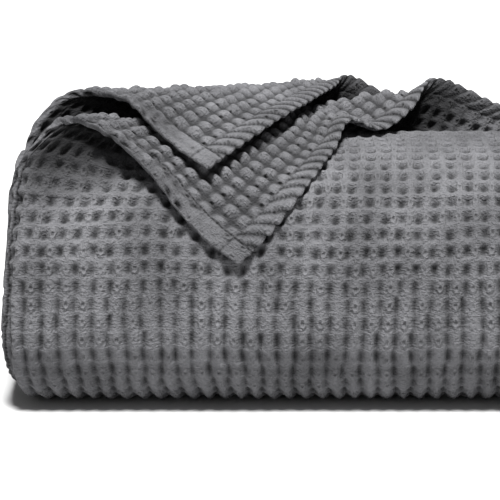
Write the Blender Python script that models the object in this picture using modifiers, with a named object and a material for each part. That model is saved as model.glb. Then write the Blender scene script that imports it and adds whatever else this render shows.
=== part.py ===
"""Waffle throw blanket, folded in four across its width and then back and forth into a bundle.

The outer pass comes up the front and over the top. There the near left corner of its two outer
leaves is turned up and forward, one leaf's corner on the other's. Sizes are in millimetres: x runs
from the bundle's left edge, y from its front and z from the floor. A place along the cloth is u
across its width and s along its length, which starts inside the bundle and ends on top.
"""
import math

import bpy
import numpy as np

MM = 0.001

# Blanket
WIDTH = 1524.0
LENGTH = 1270.0
CLOTH = 3.0

# Folded in four across its width: leaf A lies outermost, then B, C and D
LEAF_PITCH = 5.0
OUTER_TURN = 1.5 * LEAF_PITCH
INNER_TURN = 0.5 * LEAF_PITCH
LEAF_WIDTH = (WIDTH - math.pi * (OUTER_TURN + 2 * INNER_TURN)) / 4

# Bundle, measured on leaf A
PASS_PITCH = 25.0
BACK = 220.0
UPPER_FRONT = 62.0
LOWER_FRONT = 45.0
BOTTOM_FRONT = 49.0
WIDE_TURN = (PASS_PITCH + 3 * LEAF_PITCH) / 2
TIGHT_TURN = (PASS_PITCH - 3 * LEAF_PITCH) / 2
BOTTOM_RADIUS = 47.5
FACE_RUN = 26.0
SHOULDER_RADIUS = 77.5
CROWN_RADIUS = 157.5
TOP_RUN = 12.0
SAG_RADIUS = 80.0
SAG_TURN = 18.0
SAG_RUN = 22.0
END_RUN = 21.0
TUCK = 7.0
SWAY = 3.0

# Turned-up corners. A row for each station across the leaf, from its left hem: how much of the cloth
# is lifted there, and the way of that cloth from its rise to its tip on the end hem. A row with no
# points is cloth that lies on the bundle
CORNER_A = (
    # station, lift, rise, ridge, brow, slope, low, tip
    (0, 205, (7, 36, 152), (31, 50, 173), (56, 47, 165), (85, 32, 141), (109, 14, 114), (137, 5, 92)),
    (30, 188, (33, 49, 153), (56, 65, 170), (80, 60, 162), (107, 46, 146), (131, 30, 127), (157, 14, 110)),
    (60, 170, (62, 62, 153), (82, 78, 164), (104, 73, 158), (128, 60, 149), (152, 46, 139), (176, 33, 130)),
    (110, 128, (114, 88, 153), (132, 104, 162), (149, 102, 160), (166, 94, 157),
     (182, 84, 153), (197, 72, 149)),
    (147, 103, (150, 114, 150), (166, 130, 159), (178, 128, 162), (190, 121, 162),
     (201, 113, 161), (210, 105, 160)),
    (165, 100, (171, 124, 150), (186, 140, 162), (197, 139, 163), (207, 131, 160),
     (216, 120, 156), (225, 110, 153)),
    (200, 78, (208, 149, 146), (222, 162, 162), (230, 163, 166), (238, 157, 166),
     (244, 147, 164), (248, 137, 161)),
    (240, 60, (243, 162, 140), (249, 168, 148), (254, 171, 156), (258, 173, 163),
     (262, 176, 169), (265, 178, 174)),
    (290, 60, (291, 162, 136), (293, 172, 135), (297, 178, 139), (301, 182, 145),
     (304, 185, 151), (307, 187, 156)),
    (330, 60, (330, 160, 137), (331, 170, 134), (332, 180, 132), (334, 189, 134),
     (337, 194, 138), (340, 199, 142)),
    (LEAF_WIDTH, 60),
)
CORNER_B = (
    # station, lift, rise, ridge, brow, slope, low, tip
    (0, 182, (10, 60, 164), (35, 77, 183), (50, 78, 183), (64, 75, 180), (91, 51, 161), (119, 30, 145)),
    (60, 150, (66, 95, 163), (86, 110, 177), (103, 108, 179), (120, 99, 176),
     (138, 87, 170), (158, 74, 164)),
    (120, 118, (124, 135, 159), (142, 148, 171), (156, 146, 174), (167, 139, 175),
     (178, 130, 174), (187, 120, 172)),
    (160, 88, (168, 158, 154), (178, 172, 167), (187, 174, 171), (193, 169, 173),
     (197, 162, 173), (200, 155, 173)),
    (190, 60, (194, 164, 140), (199, 172, 150), (203, 178, 158), (206, 183, 165),
     (208, 187, 170), (210, 190, 174)),
    (215, 60, (218, 162, 134), (221, 176, 139), (224, 184, 146), (227, 189, 152),
     (229, 194, 157), (231, 198, 162)),
    (240, 60, (241, 162, 131), (243, 175, 130), (245, 184, 134), (247, 191, 139),
     (249, 198, 144), (250, 203, 148)),
    (280, 60, (280, 159, 132), (281, 170, 129), (281, 180, 127), (282, 190, 128),
     (283, 198, 131), (284, 206, 134)),
    (330, 60),
    (LEAF_WIDTH, 60),
)
POINTS = 6
FLAT_LIFT = 60.0


def bend(radius, degrees):
    """An arc as a run of a route: its length and its turn, to the left where positive."""
    return radius * math.radians(abs(degrees)), math.radians(degrees)


def straight(length):
    """A straight run of a route."""
    return length, 0.0


def advance(heading, length, turn, run):
    """The step made along one run after the distance run, and the heading there."""
    now = heading + turn * run / length
    if turn == 0.0:
        return np.stack([run * np.cos(now), run * np.sin(now)], -1), now
    radius = length / turn
    return radius * np.stack([np.sin(now) - math.sin(heading), math.cos(heading) - np.cos(now)], -1), now


def follow(route, start, heading, at):
    """Points and left normals at the distances at along a route from start, heading that way."""
    at = np.asarray(at, float)
    point = np.zeros(at.shape + (2,))
    angle = np.zeros(at.shape)
    here = np.array(start, float)
    passed = 0.0
    for length, turn in route:
        step, now = advance(heading, length, turn, np.clip(at - passed, 0.0, length))
        reached = at >= passed
        point[reached] = (here + step)[reached]
        angle[reached] = now[reached]
        step, now = advance(heading, length, turn, np.array(length))
        here = here + step
        heading = float(now)
        passed += length
    return point, np.stack([-np.sin(angle), np.cos(angle)], -1)


def cross_route():
    """The way of the cloth across the blanket: leaf A, round to D, back to C, and round to B."""
    return (straight(LEAF_WIDTH), bend(OUTER_TURN, 180), straight(LEAF_WIDTH), bend(INNER_TURN, 180),
            straight(LEAF_WIDTH), bend(INNER_TURN, -180), straight(LEAF_WIDTH))


def length_route():
    """The way of leaf A along the blanket: four passes inside, the bottom, the front and the top."""
    inside = [bend(TIGHT_TURN, 180), straight(BACK - UPPER_FRONT), bend(WIDE_TURN, -180),
              straight(BACK - LOWER_FRONT), bend(TIGHT_TURN, 180), straight(BACK - LOWER_FRONT),
              bend(WIDE_TURN, -180)]
    outside = [straight(BACK - BOTTOM_FRONT), bend(BOTTOM_RADIUS, -105), straight(FACE_RUN),
               bend(SHOULDER_RADIUS, -60), bend(CROWN_RADIUS, -15), straight(TOP_RUN),
               bend(SAG_RADIUS, -SAG_TURN), straight(SAG_RUN), bend(SAG_RADIUS, SAG_TURN),
               straight(END_RUN)]
    rest = sum(length for length, turn in inside + outside)
    return [straight(LENGTH - rest)] + inside + outside


CROSS = cross_route()
ALONG = length_route()
START = (UPPER_FRONT + ALONG[0][0], CLOTH / 2 + 4 * PASS_PITCH)


def edge_shift(s):
    """How far the bundle's left edge stands in at s: a slow sway, and a tuck under the front."""
    end = LENGTH - np.asarray(s, float)
    sway = SWAY * (np.sin(end / 61.0) - np.sin(end / 37.0)) / 2
    tuck = TUCK * np.exp(-((end - 350.0) / 45.0) ** 2)
    return np.where(end > 230.0, sway, sway * end / 230.0) + tuck


def bundle(x, depth, s):
    """Points of the plain bundle at depth inside leaf A."""
    point, normal = follow(ALONG, START, math.pi, s)
    plane = point - np.asarray(depth)[..., None] * normal
    shifted = x + edge_shift(s) * (1.0 - x / LEAF_WIDTH)
    return np.stack([shifted, plane[..., 0], plane[..., 1]], -1)


def smooth(knots, values, at):
    """A smooth curve through values at rising knots, its slope at each taken from its neighbours."""
    knots = np.asarray(knots, float)
    values = np.asarray(values, float)
    slope = np.gradient(values, knots, axis=0)
    cell = np.clip(np.searchsorted(knots, at, side="right") - 1, 0, len(knots) - 2)
    span = (knots[cell + 1] - knots[cell])[:, None]
    t = (at - knots[cell])[:, None] / span
    return (values[cell] * (1 + 2 * t) * (1 - t) ** 2 + slope[cell] * span * t * (1 - t) ** 2
            + values[cell + 1] * t * t * (3 - 2 * t) + slope[cell + 1] * span * t * t * (t - 1))


def rib_row(row, depth):
    """A row of a corner table as plain numbers: its lift and its points."""
    station, lift, *points = row
    if not points:
        left = lift * (1.0 - np.arange(1, POINTS + 1) / POINTS)
        points = bundle(np.full(POINTS, station), np.full(POINTS, depth), LENGTH - left)
    return [lift, *np.ravel(points)]


def rib_points(table, depth, station):
    """The lift and the way of the lifted cloth at one station, smooth from row to row of a table."""
    rows = [rib_row(row, depth) for row in table]
    values = smooth([row[0] for row in table], rows, np.array([station]))[0]
    return values[0], values[1:].reshape(POINTS, 3)


def rib(table, depth, station):
    """A rib of lifted cloth: its lift, a fine path, the distance along it, and that of its points."""
    lift, points = rib_points(table, depth, station)
    lead = bundle(np.full(2, station), np.full(2, depth), LENGTH - lift - np.array([12.0, 0.0]))
    points = np.vstack([lead, points])
    knots = distances(points)
    path = smooth(knots, points, np.linspace(knots[1], knots[-1], 161))
    reach = distances(path)
    named = np.interp(knots[1:], np.linspace(knots[1], knots[-1], 161), reach)
    return lift, path, reach, named


def distances(points):
    """The distance of each point along a path."""
    return np.concatenate([[0.0], np.cumsum(np.linalg.norm(np.diff(points, axis=0), axis=1))])


def leaf_table(u):
    """The corner table of the leaf at u and the station there, or None where no corner is turned up."""
    if u <= LEAF_WIDTH:
        return CORNER_A, u
    if u >= WIDTH - LEAF_WIDTH:
        return CORNER_B, WIDTH - u
    return None


def column(u, s):
    """Points of the blanket at one place u across it, at rising places s along it."""
    (x, depth), _ = (value[0] for value in follow(CROSS, (0.0, 0.0), 0.0, np.array([u])))
    points = bundle(np.full(len(s), x), np.full(len(s), depth), s)
    if leaf_table(u):
        table, station = leaf_table(u)
        lift, path, reach, _ = rib(table, depth, station)
        lifted = s > LENGTH - lift
        way = (s[lifted] - LENGTH + lift) / lift * reach[-1]
        for axis in range(3):
            points[lifted, axis] = np.interp(way, reach, path[:, axis])
    return points


def steps(*stops):
    """Places along the cloth: each stop is where it ends and in how many equal steps."""
    places = [0.0]
    for end, count in stops:
        places += list(np.linspace(places[-1], end, count + 1)[1:])
    return np.array(places)


def across_places():
    """Columns: close on the two leaves that are turned up, and at each turn."""
    outer, inner = CROSS[1][0], CROSS[3][0]
    turn_a = LEAF_WIDTH + outer
    turn_d = turn_a + LEAF_WIDTH
    turn_c = turn_d + inner + LEAF_WIDTH
    return steps((LEAF_WIDTH, 12), (turn_a, 4), (turn_d, 3), (turn_d + inner, 3), (turn_c, 3),
                 (turn_c + inner, 3), (WIDTH, 12))


def along_places(u):
    """Rows at u: the runs of the bundle, and on lifted cloth close steps from point to point."""
    lift, named = FLAT_LIFT, np.linspace(0.0, 1.0, POINTS + 1)
    if leaf_table(u):
        table, station = leaf_table(u)
        depth = 0.0 if table is CORNER_A else LEAF_PITCH
        lift, _, reach, named = rib(table, depth, station)
        named = named / reach[-1]
    counts = (2, 4, 2, 6, 2, 4, 2, 6, 2, 7)
    ends = np.cumsum([length for length, turn in ALONG])[:len(counts)]
    free = LENGTH - lift - ends[-1]
    stops = list(zip(ends, counts)) + [(ends[-1] + 0.42 * free, 5), (LENGTH - lift, 5)]
    stops += [(LENGTH - lift * (1.0 - share), 2 + (number < 3)) for number, share in enumerate(named[1:])]
    return steps(*stops)


def build_throw():
    """The blanket as one closed solid: a grid laid on its folds, given its thickness."""
    columns = across_places()
    rows = [along_places(u) for u in columns]
    bpy.ops.mesh.primitive_grid_add(x_subdivisions=len(columns) - 1,
                                    y_subdivisions=len(rows[0]) - 1, size=1.0)
    throw = bpy.context.object
    throw.name = "throw"
    throw.data.name = "throw"
    points = np.stack([column(u, s) for u, s in zip(columns, rows)], axis=1).reshape(-1, 3) * MM
    throw.data.vertices.foreach_set("co", points.ravel())
    facets = throw.modifiers.new("Facets", "TRIANGULATE")
    facets.quad_method = "SHORTEST_DIAGONAL"
    bpy.ops.object.modifier_apply(modifier=facets.name)
    shell = throw.modifiers.new("Cloth", "SOLIDIFY")
    shell.thickness = CLOTH * MM
    shell.offset = 0.0
    shell.use_quality_normals = True
    bpy.ops.object.modifier_apply(modifier=shell.name)
    return throw


def centre_on_floor(throw):
    """Moves the mesh so that the middle of its underside is the origin."""
    points = np.empty(len(throw.data.vertices) * 3)
    throw.data.vertices.foreach_get("co", points)
    points = points.reshape(-1, 3)
    low, high = points.min(axis=0), points.max(axis=0)
    points -= [(low[0] + high[0]) / 2, (low[1] + high[1]) / 2, low[2]]
    throw.data.vertices.foreach_set("co", points.ravel())
    throw.data.update()


def cotton():
    """Charcoal cotton."""
    material = bpy.data.materials.new("Charcoal cotton")
    material.use_nodes = True
    shader = material.node_tree.nodes["Principled BSDF"]
    shader.inputs["Base Color"].default_value = (0.12, 0.12, 0.125, 1.0)
    shader.inputs["Roughness"].default_value = 0.9
    shader.inputs["Metallic"].default_value = 0.0
    return material


def main():
    for item in list(bpy.data.objects):
        bpy.data.objects.remove(item, do_unlink=True)
    throw = build_throw()
    centre_on_floor(throw)
    throw.data.materials.append(cotton())
    collection = bpy.data.collections.new("Throw blanket")
    bpy.context.scene.collection.children.link(collection)
    for holder in list(throw.users_collection):
        holder.objects.unlink(throw)
    collection.objects.link(throw)


main()
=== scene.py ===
"""Looks of the charcoal waffle throw: its real weave and hems on the folds of the CAD model.

The folds are worked out as in the part's own source, in millimetres, and then moved to the frame.
A place on the cloth is u across its width and s along its length; r is the way back from the end hem.
"""
import math

import bpy
import numpy as np
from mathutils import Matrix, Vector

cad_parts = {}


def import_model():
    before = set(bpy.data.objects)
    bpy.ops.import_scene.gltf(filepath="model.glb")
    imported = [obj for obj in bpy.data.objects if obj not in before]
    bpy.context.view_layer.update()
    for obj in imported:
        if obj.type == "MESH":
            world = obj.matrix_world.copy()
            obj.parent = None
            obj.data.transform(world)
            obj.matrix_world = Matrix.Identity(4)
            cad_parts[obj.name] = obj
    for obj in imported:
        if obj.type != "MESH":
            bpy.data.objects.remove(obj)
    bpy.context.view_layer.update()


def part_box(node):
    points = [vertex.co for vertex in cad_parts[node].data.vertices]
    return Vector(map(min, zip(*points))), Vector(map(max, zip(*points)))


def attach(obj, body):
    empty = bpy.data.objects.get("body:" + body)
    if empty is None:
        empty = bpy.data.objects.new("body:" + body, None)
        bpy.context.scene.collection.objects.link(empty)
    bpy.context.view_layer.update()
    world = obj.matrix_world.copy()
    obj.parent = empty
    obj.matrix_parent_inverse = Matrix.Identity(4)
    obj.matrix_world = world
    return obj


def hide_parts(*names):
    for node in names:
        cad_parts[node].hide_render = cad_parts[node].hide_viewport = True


MM = 0.001

# Blanket
WIDTH = 1524.0
LENGTH = 1270.0
CLOTH = 3.0

# Folded in four across its width: leaf A lies outermost, then B, C and D
LEAF_PITCH = 5.0
OUTER_TURN = 1.5 * LEAF_PITCH
INNER_TURN = 0.5 * LEAF_PITCH
LEAF_WIDTH = (WIDTH - math.pi * (OUTER_TURN + 2 * INNER_TURN)) / 4

# Bundle, measured on leaf A
PASS_PITCH = 25.0
BACK = 220.0
UPPER_FRONT = 62.0
LOWER_FRONT = 45.0
BOTTOM_FRONT = 49.0
WIDE_TURN = (PASS_PITCH + 3 * LEAF_PITCH) / 2
TIGHT_TURN = (PASS_PITCH - 3 * LEAF_PITCH) / 2
BOTTOM_RADIUS = 47.5
FACE_RUN = 26.0
SHOULDER_RADIUS = 77.5
CROWN_RADIUS = 157.5
TOP_RUN = 12.0
SAG_RADIUS = 80.0
SAG_TURN = 18.0
SAG_RUN = 22.0
END_RUN = 21.0
TUCK = 7.0
SWAY = 3.0

# Turned-up corners. A row for each station across the leaf, from its left hem: how much of the cloth
# is lifted there, and the way of that cloth from its rise to its tip on the end hem. A row with no
# points is cloth that lies on the bundle
CORNER_A = (
    # station, lift, rise, ridge, brow, slope, low, tip
    (0, 205, (7, 36, 152), (31, 50, 173), (56, 47, 165), (85, 32, 141), (109, 14, 114), (137, 5, 92)),
    (30, 188, (33, 49, 153), (56, 65, 170), (80, 60, 162), (107, 46, 146), (131, 30, 127), (157, 14, 110)),
    (60, 170, (62, 62, 153), (82, 78, 164), (104, 73, 158), (128, 60, 149), (152, 46, 139), (176, 33, 130)),
    (110, 128, (114, 88, 153), (132, 104, 162), (149, 102, 160), (166, 94, 157),
     (182, 84, 153), (197, 72, 149)),
    (147, 103, (150, 114, 150), (166, 130, 159), (178, 128, 162), (190, 121, 162),
     (201, 113, 161), (210, 105, 160)),
    (165, 100, (171, 124, 150), (186, 140, 162), (197, 139, 163), (207, 131, 160),
     (216, 120, 156), (225, 110, 153)),
    (200, 78, (208, 149, 146), (222, 162, 162), (230, 163, 166), (238, 157, 166),
     (244, 147, 164), (248, 137, 161)),
    (240, 60, (243, 162, 140), (249, 168, 148), (254, 171, 156), (258, 173, 163),
     (262, 176, 169), (265, 178, 174)),
    (290, 60, (291, 162, 136), (293, 172, 135), (297, 178, 139), (301, 182, 145),
     (304, 185, 151), (307, 187, 156)),
    (330, 60, (330, 160, 137), (331, 170, 134), (332, 180, 132), (334, 189, 134),
     (337, 194, 138), (340, 199, 142)),
    (LEAF_WIDTH, 60),
)
CORNER_B = (
    # station, lift, rise, ridge, brow, slope, low, tip
    (0, 182, (10, 60, 164), (35, 77, 183), (50, 78, 183), (64, 75, 180), (91, 51, 161), (119, 30, 145)),
    (60, 150, (66, 95, 163), (86, 110, 177), (103, 108, 179), (120, 99, 176),
     (138, 87, 170), (158, 74, 164)),
    (120, 118, (124, 135, 159), (142, 148, 171), (156, 146, 174), (167, 139, 175),
     (178, 130, 174), (187, 120, 172)),
    (160, 88, (168, 158, 154), (178, 172, 167), (187, 174, 171), (193, 169, 173),
     (197, 162, 173), (200, 155, 173)),
    (190, 60, (194, 164, 140), (199, 172, 150), (203, 178, 158), (206, 183, 165),
     (208, 187, 170), (210, 190, 174)),
    (215, 60, (218, 162, 134), (221, 176, 139), (224, 184, 146), (227, 189, 152),
     (229, 194, 157), (231, 198, 162)),
    (240, 60, (241, 162, 131), (243, 175, 130), (245, 184, 134), (247, 191, 139),
     (249, 198, 144), (250, 203, 148)),
    (280, 60, (280, 159, 132), (281, 170, 129), (281, 180, 127), (282, 190, 128),
     (283, 198, 131), (284, 206, 134)),
    (330, 60),
    (LEAF_WIDTH, 60),
)
POINTS = 6
LEAD_IN = 12.0
RIB_PLACES = 161


def bend(radius, degrees):
    """An arc as a run of a route: its length and its turn, to the left where positive."""
    return radius * math.radians(abs(degrees)), math.radians(degrees)


def straight(length):
    """A straight run of a route."""
    return length, 0.0


def advance(heading, length, turn, run):
    """The step made along one run after the distance run, and the heading there."""
    now = heading + turn * run / length
    if turn == 0.0:
        return np.stack([run * np.cos(now), run * np.sin(now)], -1), now
    radius = length / turn
    return radius * np.stack([np.sin(now) - math.sin(heading), math.cos(heading) - np.cos(now)], -1), now


def follow(route, start, heading, at):
    """Points and left normals at the distances at along a route from start, heading that way."""
    at = np.asarray(at, float)
    point = np.zeros(at.shape + (2,))
    angle = np.zeros(at.shape)
    here = np.array(start, float)
    passed = 0.0
    for length, turn in route:
        step, now = advance(heading, length, turn, np.clip(at - passed, 0.0, length))
        reached = at >= passed
        point[reached] = (here + step)[reached]
        angle[reached] = now[reached]
        step, now = advance(heading, length, turn, np.array(length))
        here = here + step
        heading = float(now)
        passed += length
    return point, np.stack([-np.sin(angle), np.cos(angle)], -1)


def cross_route():
    """The way of the cloth across the blanket: leaf A, round to D, back to C, and round to B."""
    return (straight(LEAF_WIDTH), bend(OUTER_TURN, 180), straight(LEAF_WIDTH), bend(INNER_TURN, 180),
            straight(LEAF_WIDTH), bend(INNER_TURN, -180), straight(LEAF_WIDTH))


def length_route():
    """The way of leaf A along the blanket: four passes inside, the bottom, the front and the top."""
    inside = [bend(TIGHT_TURN, 180), straight(BACK - UPPER_FRONT), bend(WIDE_TURN, -180),
              straight(BACK - LOWER_FRONT), bend(TIGHT_TURN, 180), straight(BACK - LOWER_FRONT),
              bend(WIDE_TURN, -180)]
    outside = [straight(BACK - BOTTOM_FRONT), bend(BOTTOM_RADIUS, -105), straight(FACE_RUN),
               bend(SHOULDER_RADIUS, -60), bend(CROWN_RADIUS, -15), straight(TOP_RUN),
               bend(SAG_RADIUS, -SAG_TURN), straight(SAG_RUN), bend(SAG_RADIUS, SAG_TURN),
               straight(END_RUN)]
    rest = sum(length for length, turn in inside + outside)
    return [straight(LENGTH - rest)] + inside + outside


CROSS = cross_route()
ALONG = length_route()
START = (UPPER_FRONT + ALONG[0][0], CLOTH / 2 + 4 * PASS_PITCH)


def edge_shift(s):
    """How far the bundle's left edge stands in at s: a slow sway, and a tuck under the front."""
    end = LENGTH - np.asarray(s, float)
    sway = SWAY * (np.sin(end / 61.0) - np.sin(end / 37.0)) / 2
    tuck = TUCK * np.exp(-((end - 350.0) / 45.0) ** 2)
    return np.where(end > 230.0, sway, sway * end / 230.0) + tuck


def bundle(x, depth, s):
    """Points of the plain bundle at depth inside leaf A."""
    point, normal = follow(ALONG, START, math.pi, s)
    plane = point - np.asarray(depth)[..., None] * normal
    shifted = x + edge_shift(s) * (1.0 - x / LEAF_WIDTH)
    return np.stack([shifted, plane[..., 0], plane[..., 1]], -1)


def smooth(knots, values, at):
    """A smooth curve through values at rising knots, its slope at each taken from its neighbours."""
    knots = np.asarray(knots, float)
    values = np.asarray(values, float)
    slope = np.gradient(values, knots, axis=0)
    cell = np.clip(np.searchsorted(knots, at, side="right") - 1, 0, len(knots) - 2)
    span = (knots[cell + 1] - knots[cell])[:, None]
    t = (at - knots[cell])[:, None] / span
    return (values[cell] * (1 + 2 * t) * (1 - t) ** 2 + slope[cell] * span * t * (1 - t) ** 2
            + values[cell + 1] * t * t * (3 - 2 * t) + slope[cell + 1] * span * t * t * (t - 1))


def rib_row(row, depth):
    """A row of a corner table as plain numbers: its lift and its points."""
    station, lift, *points = row
    if not points:
        left = lift * (1.0 - np.arange(1, POINTS + 1) / POINTS)
        points = bundle(np.full(POINTS, station), np.full(POINTS, depth), LENGTH - left)
    return [lift, *np.ravel(points)]


def rib_points(table, depth, station):
    """The lift and the way of the lifted cloth at one station, smooth from row to row of a table."""
    rows = [rib_row(row, depth) for row in table]
    values = smooth([row[0] for row in table], rows, np.array([station]))[0]
    return values[0], values[1:].reshape(POINTS, 3)


def rib(table, depth, station):
    """A rib of lifted cloth: its lift, a fine path, and the distance along it."""
    lift, points = rib_points(table, depth, station)
    lead = bundle(np.full(2, station), np.full(2, depth), LENGTH - lift - np.array([LEAD_IN, 0.0]))
    points = np.vstack([lead, points])
    knots = distances(points)
    path = smooth(knots, points, np.linspace(knots[1], knots[-1], RIB_PLACES))
    return lift, path, distances(path)


def distances(points):
    """The distance of each point along a path."""
    return np.concatenate([[0.0], np.cumsum(np.linalg.norm(np.diff(points, axis=0), axis=1))])


def leaf_table(u):
    """The corner table of the leaf at u and the station there, or None where no corner is turned up."""
    if u <= LEAF_WIDTH:
        return CORNER_A, u
    if u >= WIDTH - LEAF_WIDTH:
        return CORNER_B, WIDTH - u
    return None


# Weave and hems, in millimetres
CELL_ACROSS = 9.6
CELL_ALONG = 10.4
FIRST_RIDGE_ACROSS = 11.7
FIRST_RIDGE_ALONG = 11.6
DRIFT = 0.9
RIPPLE = 0.4
LOWEST_PUFF = 0.11
RELIEF = 2.2
HIDDEN_RELIEF = 0.3
CORE = 0.5
HEM = 14.0
HEM_HALF = 1.5
HEM_DIP = 1.5
STITCH = 13.2
STITCH_HALF = 0.9
STITCH_PITCH = 3.2
ROPE = 2.6
STRAND = 9.0
LOOP_WIDE = 1.5
LOOP_LONG = 2.2

# Yarns as they are drawn, and the patches where the dye has taken more or less
YARN_LONG = 4.0
YARN_WIDE = 1.5
YARN_RELIEF = 0.8
PATCH = (40.0, 60.0)

# Moves the place in a cell so that 0.5 is the middle of a float between two pits
FLOAT_MIDDLE = (100.5, 100.0, 0.0)

# Places across the cloth where its leaves turn, and the middles of two of its tight turns
TURN_A = LEAF_WIDTH + CROSS[1][0]
TURN_D = TURN_A + LEAF_WIDTH
TURN_C = TURN_D + CROSS[3][0] + LEAF_WIDTH
TURN_B = TURN_C + CROSS[5][0]
MIDDLE_D = (TURN_D + TURN_D + CROSS[3][0]) / 2
MIDDLE_B = (TURN_C + TURN_B) / 2

# Left margin of the bundle, where the two outer leaves curl round its side. Leaves within spread less
CURL_WIDTH = 28.0
CURL_ANGLE = 88.0
CURL_STEPS = 100
SPREAD_LESS = (0.0, 6.0, 26.0)

# Stretches of the cloth back from its end hem: where one starts, is full, fades and ends
CURLED = (110.0, 215.0, 335.0, 410.0)
PULLED = (205.0, 245.0, 370.0, 430.0)


def wave(values, period):
    """A cosine along a distance."""
    return np.cos(2 * math.pi * values / period)


def rise(values, start, end):
    """A smooth rise from 0 to 1 between two distances."""
    t = np.clip((values - start) / (end - start), 0.0, 1.0)
    return t * t * (3 - 2 * t)


def band(values, start, full, fading, end):
    """A smooth rise from 0 to 1, and a smooth fall back to 0 further on."""
    return rise(values, start, full) * (1 - rise(values, fading, end))


def curl_path():
    """The margin's curl: distances from where it starts, and how far across and inward it has come."""
    share = np.linspace(0.0, 1.0, CURL_STEPS + 1)
    angle = math.radians(CURL_ANGLE) * (1 - (1 - share) ** 2)
    step = CURL_WIDTH / CURL_STEPS
    over = np.concatenate([[0.0], np.cumsum((np.cos(angle[1:]) + np.cos(angle[:-1])) / 2 * step)])
    inward = np.concatenate([[0.0], np.cumsum((np.sin(angle[1:]) + np.sin(angle[:-1])) / 2 * step)])
    return share * CURL_WIDTH, over, inward


CURL = curl_path()
SPREAD = CURL_WIDTH - CURL[1][-1]


def curl_amount(s):
    """How far the left margin is curled round the bundle's side: not on the corners or the floor."""
    return band(LENGTH - s, *CURLED)


def curled(u, x, depth, s, points):
    """Moves the points of one column: the leaves spread to the left, and their left margin curls in."""
    amount = curl_amount(s)
    points[:, 0] -= amount * (SPREAD - depth_shift(depth)) * (1.0 - x / LEAF_WIDTH)
    margin = min(u, WIDTH - u)
    if margin < CURL_WIDTH:
        distance, over, inward = CURL
        reach = CURL_WIDTH - margin
        ahead = np.gradient(points[:, 1:], axis=0)
        ahead /= np.maximum(np.linalg.norm(ahead, axis=1, keepdims=True), 1e-9)
        points[:, 0] += amount * (reach - np.interp(reach, distance, over))
        points[:, 1] += amount * np.interp(reach, distance, inward) * ahead[:, 1]
        points[:, 2] -= amount * np.interp(reach, distance, inward) * ahead[:, 0]
    return points


def depth_shift(depth):
    """How much less an inner leaf spreads, so that it stays inside the curl of the outer one."""
    return np.interp(depth, [0.0, LEAF_PITCH, 2 * LEAF_PITCH], SPREAD_LESS)


def lifted_way(u, s, points):
    """Moves the points of one column at u onto its turned-up corner."""
    table, station = leaf_table(u)
    depth = 0.0 if table is CORNER_A else LEAF_PITCH
    lift, path, reach = rib(table, depth, station)
    lifted = s > LENGTH - lift
    way = (s[lifted] - LENGTH + lift) / lift * reach[-1]
    for axis in range(3):
        points[lifted, axis] = np.interp(way, reach, path[:, axis])
    return points


def middle(across, along):
    """Points of the middle of the cloth at each place across and along it."""
    (plan, _) = follow(CROSS, (0.0, 0.0), 0.0, across)
    columns = []
    for u, (x, depth) in zip(across, plan):
        points = bundle(np.full(len(along), x), np.full(len(along), depth), along)
        if leaf_table(u):
            points = lifted_way(u, along, points)
        columns.append(curled(u, x, depth, along, points))
    return np.stack(columns, axis=1)


def directions(across, along):
    """Unit directions of the cloth: across it, along it, and out of it to the outside of leaf A."""
    step = 0.4
    low, high = np.clip(across - step, 0.0, WIDTH), np.clip(across + step, 0.0, WIDTH)
    over = unit(middle(high, along) - middle(low, along))
    low, high = np.clip(along - step, 0.0, LENGTH), np.clip(along + step, 0.0, LENGTH)
    ahead = unit(middle(across, high) - middle(across, low))
    return over, ahead, unit(np.cross(over, ahead))


def unit(vectors):
    """Vectors at a length of one."""
    return vectors / np.maximum(np.linalg.norm(vectors, axis=-1, keepdims=True), 1e-9)


def chance(first, second):
    """A number from 0 to 1 for each cell of the weave, the same at each run."""
    mixed = np.sin(first * 12.9898 + second * 78.233) * 43758.5453
    return mixed - np.floor(mixed)


def cells(u, r):
    """Place in the weave, counted in cells: ridges run at whole numbers and pits lie at the halves."""
    drift_u = DRIFT * np.sin(r / 31.0 + 1.2 * np.sin(u / 47.0)) + RIPPLE * np.sin(r / 9.3 + u / 14.0)
    drift_r = DRIFT * np.sin(u / 37.0 + 1.1 * np.sin(r / 53.0)) + RIPPLE * np.sin(u / 10.7 - r / 16.0)
    return ((u - FIRST_RIDGE_ACROSS + drift_u) / CELL_ACROSS,
            (r - FIRST_RIDGE_ALONG + drift_r) / CELL_ALONG)


def weave(u, r, side):
    """Height of the waffle on one side, 0 to 1: ridges round pits outside, and the pits' puffs inside. On
    the front its weight pulls the cloth down, so that the ridges along it are higher than those across."""
    column, row = cells(u, r)
    luck = chance(np.floor(column), np.floor(row))
    pulled = band(r, *PULLED)
    column = column + 0.05 * np.sin(40.0 * luck) * (1 - wave(column, 1.0))
    row = row + 0.05 * np.cos(70.0 * luck) * (1 - wave(row, 1.0))
    ridge_along = ((1 + wave(column, 1.0)) / 2) ** (1.2 - 0.35 * pulled)
    ridge_across = ((1 + wave(row, 1.0)) / 2) ** 1.5
    hollow = (0.8 + 0.2 * luck) * (1 - ridge_along) * (1 - (0.9 - 0.65 * pulled) * ridge_across)
    knot = ridge_along * ridge_across * (0.3 + 0.7 * chance(np.round(column), np.round(row)))
    puffs = np.maximum(hollow ** 0.65 * (0.85 + 0.35 * luck), LOWEST_PUFF)
    return np.where(outside(u, side), 1 - hollow + 0.04 * knot, puffs)


def outside(u, side):
    """Where a side of the cloth looks out of the bundle: the last leaf lies the other way up."""
    return np.where(u > MIDDLE_B, side < 0, side > 0)


def round_edge(distance):
    """A quarter circle up from the cloth's cut edge to its full thickness."""
    t = np.clip(distance / HEM_HALF, 0.0, 1.0)
    return np.sqrt(1 - (1 - t) ** 2)


def calm_at(u, turn):
    """How much of its relief the cloth keeps near a tight turn, where it would push through itself."""
    return 0.1 + 0.9 * rise(np.abs(u - turn), 4.0, 14.0)


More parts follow.
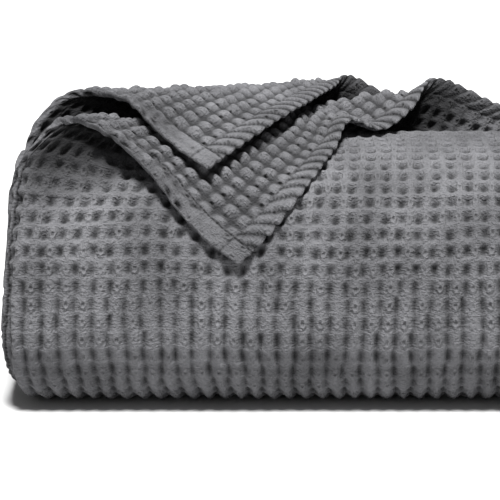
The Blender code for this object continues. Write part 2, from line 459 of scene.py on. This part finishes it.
def in_hem(distance):
    """1 within a hem, and 0 past its stitches."""
    return 1 - rise(distance, STITCH - 0.6, STITCH + 1.8)


def stitch_line(distance):
    """1 on the line of stitches along a hem, and less beside it."""
    return np.exp(-((distance - STITCH) / STITCH_HALF) ** 2)


def surface(u, r, side, hidden):
    """The cloth's surface on one side: its distance from the middle, and how much shade is painted into its
    colour.
    """
    from_side = np.minimum(u, WIDTH - u)
    from_end = np.minimum(r, LENGTH - r)
    woven = weave(u, r, side)
    calm = (HIDDEN_RELIEF if hidden else 1.0) * calm_at(u, MIDDLE_D) * calm_at(u, MIDDLE_B)
    calm = calm * (0.5 + 0.5 * rise(from_end, STITCH, STITCH + 9.0))
    body = CORE + calm * RELIEF * (2 * woven - 1)
    fold = HEM_HALF + np.where(outside(u, side), 0.0, 0.25)
    puff = 0.15 + 0.6 * rise(r, 22.0, 60.0)
    dent = hem_dents(from_side, r)
    plain = fold + puff * (body - CORE) - 1.3 * dent
    strand = strands(u, from_end)
    bulge = np.sin(math.pi * np.clip((from_end + 1.5) / (STITCH + 2.5), 0.0, 1.0)) ** 0.8
    rope = fold + ROPE * (strand * bulge - 0.5)
    in_side, in_end = in_hem(from_side), in_hem(from_end)
    dip = np.maximum(HEM_DIP * stitch_line(from_side) * (0.8 + 0.2 * wave(r, STITCH_PITCH)),
                     stitch_line(from_end) * (0.7 + 0.3 * wave(u, STITCH_PITCH)))
    distance = blend(body, plain, rope, in_side, in_end) - 0.8 * dip
    # Painted shade: darker in the pits, in the hems' pits and dents, in the creases between the end hem's
    # strands,
    shade = blend(0.9 - 0.9 * rise(woven, 0.0, 0.7), 0.1 + 0.6 * puff * (1 - woven) + dent,
                  # on the stitch lines, and in the hollows under the turned-up corners
                  1 - rise(strand, 0.1, 0.75), in_side, in_end)
    shade = np.maximum(np.maximum(shade, 0.8 * dip), hollow_shade(u, r, side))
    return distance * round_edge(from_side) * round_edge(from_end), shade


def hem_dents(from_side, r):
    """Dents in the plain side hems, about one for each cell of the cloth folded inside: 1 at a deep one."""
    across = from_side / 6.6 + 0.2 * np.sin(r / 7.0)
    along = r / 8.6 + 0.3 * np.sin(from_side / 3.0 + r / 21.0)
    deep = rise(chance(np.floor(across) + 31.0, np.floor(along)), 0.2, 0.9)
    return deep * (1 - wave(across, 1.0)) * (1 - wave(along, 1.0)) / 4 * rise(r, 22.0, 48.0)


def strands(u, from_end):
    """The twisted end hem's strands, which lie slanted and one on the edge of the next: 0 in a crease."""
    from_side = np.minimum(u, WIDTH - u)
    lean = 10.0 * (from_end / HEM) ** 1.5
    turn = (from_side + lean + 1.1 * np.sin(u / 13.0) + 0.7 * np.sin(u / 5.1)) / STRAND
    part = turn - np.floor(turn)
    return rise(part, 0.0, 0.3) * (1 - 0.85 * part ** 2) * (0.8 + 0.35 * chance(np.floor(turn), 3.0))


def fold_line(across):
    """How far back from the end hem a turned-up corner folds over at these places: its highest place."""
    along = np.linspace(LENGTH - CORNER_REACH, LENGTH, CORNER_PLACES)
    return LENGTH - along[middle(across, along)[:, :, 2].argmax(axis=0)]


# Where the turned-up corners of the two outer leaves fold, at places from their side hem
CORNER_REACH = 130.0
CORNER_PLACES = 66
FOLD_PLACES = np.linspace(0.0, 240.0, 13)
FOLD_A = fold_line(FOLD_PLACES)
FOLD_B = fold_line(WIDTH - FOLD_PLACES)

# Hollow below a fold: where its painted shade starts, is full, fades and ends
UNDER_FOLD = (-20.0, 0.0, 28.0, 80.0)

# From the side hems of leaf A and leaf B: where the painted shade of the hollow is full, and where the end
# hem stands up
HOLLOW_FROM = (24.0, 8.0)
STANDS_FROM = (195.0, 155.0)


def hollow_shade(u, r, side):
    """Painted shade in the hollows under the turned-up corners and behind them, where hardly any light comes.
    """
    first = u < WIDTH / 2
    from_side = np.minimum(u, WIDTH - u)
    fold = np.where(first, np.interp(from_side, FOLD_PLACES, FOLD_A),
                    np.interp(from_side, FOLD_PLACES, FOLD_B))
    arch = band(r - fold, *UNDER_FOLD) * band(from_side, 0.0, np.where(first, *HOLLOW_FROM), 90.0, 160.0)
    stands = from_side - np.where(first, *STANDS_FROM)
    behind = (1 - rise(r, 45.0, 90.0)) * rise(stands, 0.0, 25.0) * (1 - 0.7 * rise(stands, 50.0, 110.0))
    behind = behind * (1 - rise(stands, 110.0, 200.0)) * (0.6 + 0.4 * rise(r, 0.0, 16.0))
    return np.where(outside(u, side), np.maximum(arch, behind), 0.0)


def uneven_edge(u, r):
    """How far the cloth's edges stand in: side hems that wander, and end hems scalloped by their strands."""
    from_side = np.minimum(u, WIDTH - u)
    from_end = np.minimum(r, LENGTH - r)
    wander = 0.6 + 0.4 * np.sin(r / 5.3 + 1.5 * np.sin(r / 23.0)) + 0.2 * np.sin(r / 2.1)
    side_in = wander * (1 - rise(from_side, 0.0, 18.0)) * np.where(u < WIDTH / 2, 1.0, -1.0)
    scallop = 1.7 * (1 - strands(u, from_end)) * (1 - rise(from_end, 0.0, 9.0))
    return side_in, scallop * np.where(r < LENGTH / 2, 1.0, -1.0)


def blend(body, plain, rope, in_side, in_end):
    """The cloth's body, its plain side hems, and its twisted end hems between these."""
    end = rope * (1 - in_side) + plain * in_side
    return (body * (1 - in_side) + plain * in_side) * (1 - in_end) + end * in_end


# Places in a hem from the cloth's edge, closer where it turns at the edge and at the stitches
HEM_PLACES = (0.0, 0.12, 0.45, 0.9, 1.5, 3.0, 5.0, 7.0, 9.0, 10.8, 12.0, 12.7, 13.2, 13.7, 14.4)


def places(first, last, step, size):
    """Places from first to last about a step apart, closer in a hem at either end of the cloth."""
    low = [p for p in HEM_PLACES if first == 0.0]
    high = [size - p for p in reversed(HEM_PLACES) if last == size]
    start = low[-1] if low else first
    end = high[0] if high else last
    count = max(1, round((end - start) / step))
    inner = list(np.linspace(start, end, count + 1))
    return np.array(low[:-1] + inner + high[1:])


def sided(values, hem_first):
    """The places in one row on both sides of the cloth, round its hem, with 0 for its middle at the ends."""
    if hem_first:
        row = np.concatenate([values[:0:-1], values])
        side = np.repeat([-1, 1], [len(values) - 1, len(values)])
    else:
        row = np.concatenate([values, values[-2::-1]])
        side = np.repeat([1, -1], [len(values), len(values) - 1])
    return np.concatenate([row[:1], row, row[-1:]]), np.concatenate([[0], side, [0]])


def cloth_part(name, across, along, step, two_sided, hidden, offset, material):
    """One part of the cloth between places across it and along it, with its weave and hems."""
    columns = places(across[0], across[1], step, WIDTH)
    rows = places(LENGTH - along[1], LENGTH - along[0], step, LENGTH)
    column_side, row_side = np.ones(len(columns), int), np.ones(len(rows), int)
    if two_sided:
        columns, column_side = sided(columns, across[0] == 0.0)
        if along[0] > 0.0:
            rows, row_side = np.append(rows, rows[-1]), np.append(row_side, 0)
        if along[1] < LENGTH:
            rows, row_side = np.append(rows[:1], rows), np.append([0], row_side)
    side = row_side[:, None] * column_side[None, :]
    u, r = np.meshgrid(columns, LENGTH - rows)
    distance, shade = surface(u, r, side, hidden)
    side_in, end_in = uneven_edge(u, r)
    points, over, ahead, out = cloth_frame(columns, rows)
    outward = side * distance - corner_lift(u, r)
    points = points + over * side_in[..., None] - ahead * end_in[..., None] + out * outward[..., None]
    place = (u * MM, r * MM)
    return grid_object(name, (points - offset) * MM, place, cells(u, r), shade, two_sided, material)


def corner_lift(u, r):
    """How far the outer leaf's corner is raised, so that the weave below it doesn't come through."""
    return (1 - rise(u, 90.0, 150.0)) * (1 - rise(r, 55.0, 100.0))


def cloth_frame(columns, rows):
    """The cloth's middle and its directions on rows and columns that may come twice, worked out once."""
    wide, back = np.unique(columns, return_inverse=True)
    long, down = np.unique(rows, return_inverse=True)
    return [values[down][:, back] for values in (middle(wide, long), *directions(wide, long))]


# How close the places that meet at an edge are, in metres, and the sharpest edge that is still smooth
MERGE_DISTANCE = 1e-7
SMOOTH_ANGLE = 75.0


def grid_object(name, points, place, cell, shade, two_sided, material):
    """A grid primitive laid on the points, with UV maps of the cloth's places and cells, and its painted
    shade.
    """
    bpy.ops.object.select_all(action="DESELECT")
    count_along, count_across = points.shape[:2]
    bpy.ops.mesh.primitive_grid_add(x_subdivisions=count_across - 1, y_subdivisions=count_along - 1, size=1.0)
    piece = bpy.context.object
    piece.name = name
    piece.data.name = name
    piece.data.vertices.foreach_set("co", points.ravel())
    corner = np.empty(len(piece.data.loops), int)
    piece.data.loops.foreach_get("vertex_index", corner)
    piece.data.uv_layers[0].name = "cloth"
    maps = (piece.data.uv_layers[0], piece.data.uv_layers.new(name="cells"))
    for layer, (across, along) in zip(maps, (place, cell)):
        spot = np.stack([across.ravel(), along.ravel()], -1)[corner]
        layer.data.foreach_set("uv", spot.ravel())
    mark = piece.data.attributes.new("shade", "FLOAT", "POINT")
    mark.data.foreach_set("value", shade.ravel())
    if two_sided:
        bpy.ops.object.mode_set(mode="EDIT")
        bpy.ops.mesh.select_all(action="SELECT")
        bpy.ops.mesh.remove_doubles(threshold=MERGE_DISTANCE)
        bpy.ops.object.mode_set(mode="OBJECT")
    bpy.ops.object.shade_smooth_by_angle(angle=math.radians(SMOOTH_ANGLE))
    piece.data.materials.clear()
    piece.data.materials.append(material)
    return piece


def linear(code):
    """An sRGB hex colour as linear values."""
    parts = [int(code[i:i + 2], 16) / 255 for i in (1, 3, 5)]
    return [c / 12.92 if c <= 0.04045 else ((c + 0.055) / 1.055) ** 2.4 for c in parts] + [1.0]


def add_node(tree, kind, settings=None, inputs=None):
    """Adds a node with its settings, and its inputs as values or links, and gives its outputs."""
    node = tree.nodes.new(kind)
    for key, value in (settings or {}).items():
        setattr(node, key, value)
    for key, value in (inputs or {}).items():
        if isinstance(value, bpy.types.NodeSocket):
            tree.links.new(value, node.inputs[key])
        else:
            node.inputs[key].default_value = value
    return node.outputs


def yarn_streaks(tree, place, across, along):
    """Soft streaks of yarn as wide and as long as these sizes in millimetres."""
    scaled = add_node(tree, "ShaderNodeMapping", None, {
        "Vector": place, "Scale": (1000 / across, 1000 / along, 1.0)})[0]
    noise = add_node(tree, "ShaderNodeTexNoise", None, {
        "Vector": scaled, "Scale": 1.0, "Detail": 2.0, "Roughness": 0.6})[0]
    return add_node(tree, "ShaderNodeMapRange", None, {0: noise, 1: 0.3, 2: 0.7})[0]


def float_loops(tree, cell):
    """Loops of yarn that lie on the ridges between two pits, some raised more: a ring, and the hole in it."""
    whole = add_node(tree, "ShaderNodeVectorMath", {"operation": "ADD"}, {0: cell, 1: FLOAT_MIDDLE})[0]
    part = add_node(tree, "ShaderNodeVectorMath", {"operation": "FRACTION"}, {0: whole})[0]
    wide, long = CELL_ACROSS / LOOP_WIDE, CELL_ALONG / LOOP_LONG
    off = add_node(tree, "ShaderNodeVectorMath", {"operation": "MULTIPLY_ADD"}, {
        0: part, 1: (wide, long, 0.0), 2: (-0.5 * wide, -0.5 * long, 0.0)})[0]
    distance = add_node(tree, "ShaderNodeVectorMath", {"operation": "LENGTH"}, {0: off})["Value"]
    corner = add_node(tree, "ShaderNodeVectorMath", {"operation": "FLOOR"}, {0: whole})[0]
    luck = add_node(tree, "ShaderNodeTexWhiteNoise", None, {"Vector": corner})["Value"]
    up = add_node(tree, "ShaderNodeMapRange", None, {0: distance, 1: 0.2, 2: 1.0})[0]
    down = add_node(tree, "ShaderNodeMapRange", None, {0: distance, 1: 1.0, 2: 1.9, 3: 1.0, 4: 0.0})[0]
    ring = add_node(tree, "ShaderNodeMath", {"operation": "MULTIPLY"}, {0: up, 1: down})[0]
    hole = add_node(tree, "ShaderNodeMapRange", None, {0: distance, 1: 0.0, 2: 0.7, 3: 1.0, 4: 0.0})[0]
    return [add_node(tree, "ShaderNodeMath", {"operation": "MULTIPLY"}, {0: value, 1: luck})[0]
            for value in (ring, hole)]


def waffle_cotton():
    """Woven cotton dyed charcoal: matt, with a soft bloom from its loose fibres. Shade is painted into its
    colour:
    it is made darker towards near black in its pits, creases, dents and stitch lines, in the holes of its
    yarn loops, and in the hollows under the turned-up corners, where little light comes."""
    material = bpy.data.materials.new("Charcoal waffle cotton")
    material.use_nodes = True
    tree = material.node_tree
    tree.nodes.clear()
    place = add_node(tree, "ShaderNodeUVMap", {"uv_map": "cloth"})[0]
    cell = add_node(tree, "ShaderNodeUVMap", {"uv_map": "cells"})[0]
    # Painted shade: the shade attribute says how much darker the colour is made
    depth = add_node(tree, "ShaderNodeAttribute", {"attribute_name": "shade"})["Fac"]
    ring, hole = float_loops(tree, cell)
    # The yarns are about 0.7 mm thick, too fine to show, so they are drawn as streaks of about 1.5 mm
    lying = yarn_streaks(tree, place, YARN_LONG, YARN_WIDE)
    standing = yarn_streaks(tree, place, YARN_WIDE, YARN_LONG)
    yarn = add_node(tree, "ShaderNodeMath", {"operation": "MAXIMUM"}, {0: lying, 1: standing})[0]
    fuzz = yarn_streaks(tree, place, YARN_WIDE, YARN_WIDE)
    relief = 0.0
    for value, height in ((yarn, 1.2), (fuzz, 0.8), (ring, 1.6), (hole, -2.0)):
        relief = add_node(tree, "ShaderNodeMath", {"operation": "MULTIPLY_ADD"}, {
            0: value, 1: height, 2: relief})[0]
    bump = add_node(tree, "ShaderNodeBump", None, {"Strength": 1.0, "Distance": YARN_RELIEF * MM,
                                                "Height": relief})[0]
    patch = 0.0
    for value, weight in ((yarn_streaks(tree, place, *PATCH), 0.55), (yarn, 0.35)):
        patch = add_node(tree, "ShaderNodeMath", {"operation": "MULTIPLY_ADD"}, {
            0: value, 1: weight, 2: patch})[0]
    colour = add_node(tree, "ShaderNodeMix", {"data_type": "RGBA"}, {
        0: patch, 6: linear("#414143"), 7: linear("#747477")})[2]
    # Painted shade in the holes of the yarn loops and from the shade attribute: both mix the colour towards
    # near black
    deep = 0.0
    for value, weight in ((hole, 0.4), (depth, 0.95)):
        deep = add_node(tree, "ShaderNodeMath", {"operation": "MULTIPLY_ADD", "use_clamp": True}, {
            0: value, 1: weight, 2: deep})[0]
    # Near black colour of the painted shade
    shaded = add_node(tree, "ShaderNodeMix", {"data_type": "RGBA"}, {
        0: deep, 6: colour, 7: linear("#0a0a0b")})[2]
    shader = add_node(tree, "ShaderNodeBsdfPrincipled", None, {
        "Base Color": shaded, "Roughness": 0.92, "Specular IOR Level": 0.15, "Sheen Weight": 0.05,
        "Sheen Roughness": 0.5, "Normal": bump})[0]
    add_node(tree, "ShaderNodeOutputMaterial", None, {0: shader})
    return material


def floor():
    """A plain pale floor."""
    bpy.ops.object.select_all(action="DESELECT")
    bpy.ops.mesh.primitive_plane_add(size=FLOOR_SIZE, location=(0.0, 0.0, 0.0))
    plane = bpy.context.object
    plane.name = "floor"
    material = bpy.data.materials.new("Matt white paper")
    material.use_nodes = True
    shader = material.node_tree.nodes["Principled BSDF"]
    shader.inputs["Base Color"].default_value = linear("#c2c2c2")
    shader.inputs["Roughness"].default_value = 0.9
    plane.data.materials.append(material)


def lamp(name, height, turn, strength, softness):
    """A distant soft light: its height and its turn to the right of the camera, in degrees."""
    data = bpy.data.lights.new(name, "SUN")
    data.energy = strength
    data.angle = math.radians(softness)
    light = bpy.data.objects.new(name, data)
    bpy.context.scene.collection.objects.link(light)
    light.rotation_euler = (math.radians(90 - height), 0.0, math.radians(turn))


def studio(offset):
    """The camera at the photograph's angle, a soft light above and a weak one from the front."""
    world = bpy.data.worlds.new("Studio")
    bpy.context.scene.world = world
    bpy.context.scene.view_settings.view_transform = "Standard"
    world.use_nodes = True
    world.node_tree.nodes["Background"].inputs[0].default_value = (1.0, 1.0, 1.0, 1.0)
    world.node_tree.nodes["Background"].inputs[1].default_value = AMBIENT
    for light in LAMPS:
        lamp(*light)
    data = bpy.data.cameras.new("camera")
    data.sensor_width = SENSOR
    data.lens = FOCAL_PIXELS / FRAME_PIXELS * SENSOR
    camera = bpy.data.objects.new("camera", data)
    bpy.context.scene.collection.objects.link(camera)
    angle = math.radians(CAMERA_ANGLE)
    eye = np.array(LOOK_AT) - offset - CAMERA_DISTANCE * np.array([0.0, math.cos(angle), -math.sin(angle)])
    camera.location = eye * MM
    camera.rotation_euler = (math.pi / 2 - angle, 0.0, 0.0)
    bpy.context.scene.camera = camera


# Camera, from the rows of the weave in the photograph, and its lights. The floor is measured in metres
LOOK_AT = (144.0, 10.0, 101.8)
CAMERA_DISTANCE = 1250.0
CAMERA_ANGLE = 15.0
FOCAL_PIXELS = 2125.0
FRAME_PIXELS = 500.0
SENSOR = 36.0
FLOOR_SIZE = 12.0
AMBIENT = 0.13
LAMPS = (
    # name, height, turn, strength, softness
    ("above", 72.0, 6.0, 9.0, 15.0),
    ("front", 30.0, -10.0, 0.2, 60.0),
)

# Parts of the cloth, which meet where they can't be seen. Their grids are fine where it shows most
FINE = 1.25
MEDIUM = 2.5
COARSE = 5.0
EDGE = 30.0
PAST_TURN = 20.0
TOP = 180.0
FRONT = 360.0
RIGHT_OUT = LEAF_WIDTH - PAST_TURN
RIGHT_IN = TURN_A + PAST_TURN
FOLD_LEFT = (TURN_D - PAST_TURN, TURN_D + CROSS[3][0] + PAST_TURN)
FOLD_RIGHT = TURN_B + PAST_TURN / 2
PARTS = (
    # name, across, along from the end hem, step, made on both sides, hidden
    ("outer_corner", (0.0, RIGHT_IN), (0.0, TOP), FINE, True, False),
    ("face_and_top", (0.0, RIGHT_IN), (TOP, FRONT), FINE, False, False),
    ("inner_corner", (FOLD_RIGHT, WIDTH), (0.0, TOP), FINE, True, False),
    ("inner_front", (FOLD_RIGHT, WIDTH), (TOP, FRONT), MEDIUM, True, True),
    ("under_corners", (RIGHT_IN, FOLD_RIGHT), (0.0, FRONT), MEDIUM, False, False),
    ("left_outer_edges", (0.0, EDGE), (FRONT, LENGTH), MEDIUM, True, False),
    ("left_inner_edges", (WIDTH - EDGE, WIDTH), (FRONT, LENGTH), MEDIUM, True, False),
    ("left_folds", FOLD_LEFT, (FRONT, LENGTH), MEDIUM, False, False),
    ("right_folds", (RIGHT_OUT, RIGHT_IN), (FRONT, LENGTH), MEDIUM, False, False),
    ("outer_layers", (EDGE, RIGHT_OUT), (FRONT, LENGTH), MEDIUM, False, False),
    ("layers_inside", (RIGHT_IN, FOLD_LEFT[0]), (FRONT, LENGTH), COARSE, False, True),
    ("layers_within", (FOLD_LEFT[1], WIDTH - EDGE), (FRONT, LENGTH), COARSE, False, True),
)


def main():
    """Dresses the throw of the frame, and sets up its floor, lights and camera."""
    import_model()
    low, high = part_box("throw")
    offset = np.array([LEAF_WIDTH + OUTER_TURN + CLOTH / 2 - high[0] / MM, -low[1] / MM, 0.0])
    cotton = waffle_cotton()
    for name, across, along, step, two_sided, hidden in PARTS:
        piece = cloth_part(name, across, along, step, two_sided, hidden, offset, cotton)
        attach(piece, "root")
        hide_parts("throw")
    floor()
    studio(offset)


main()
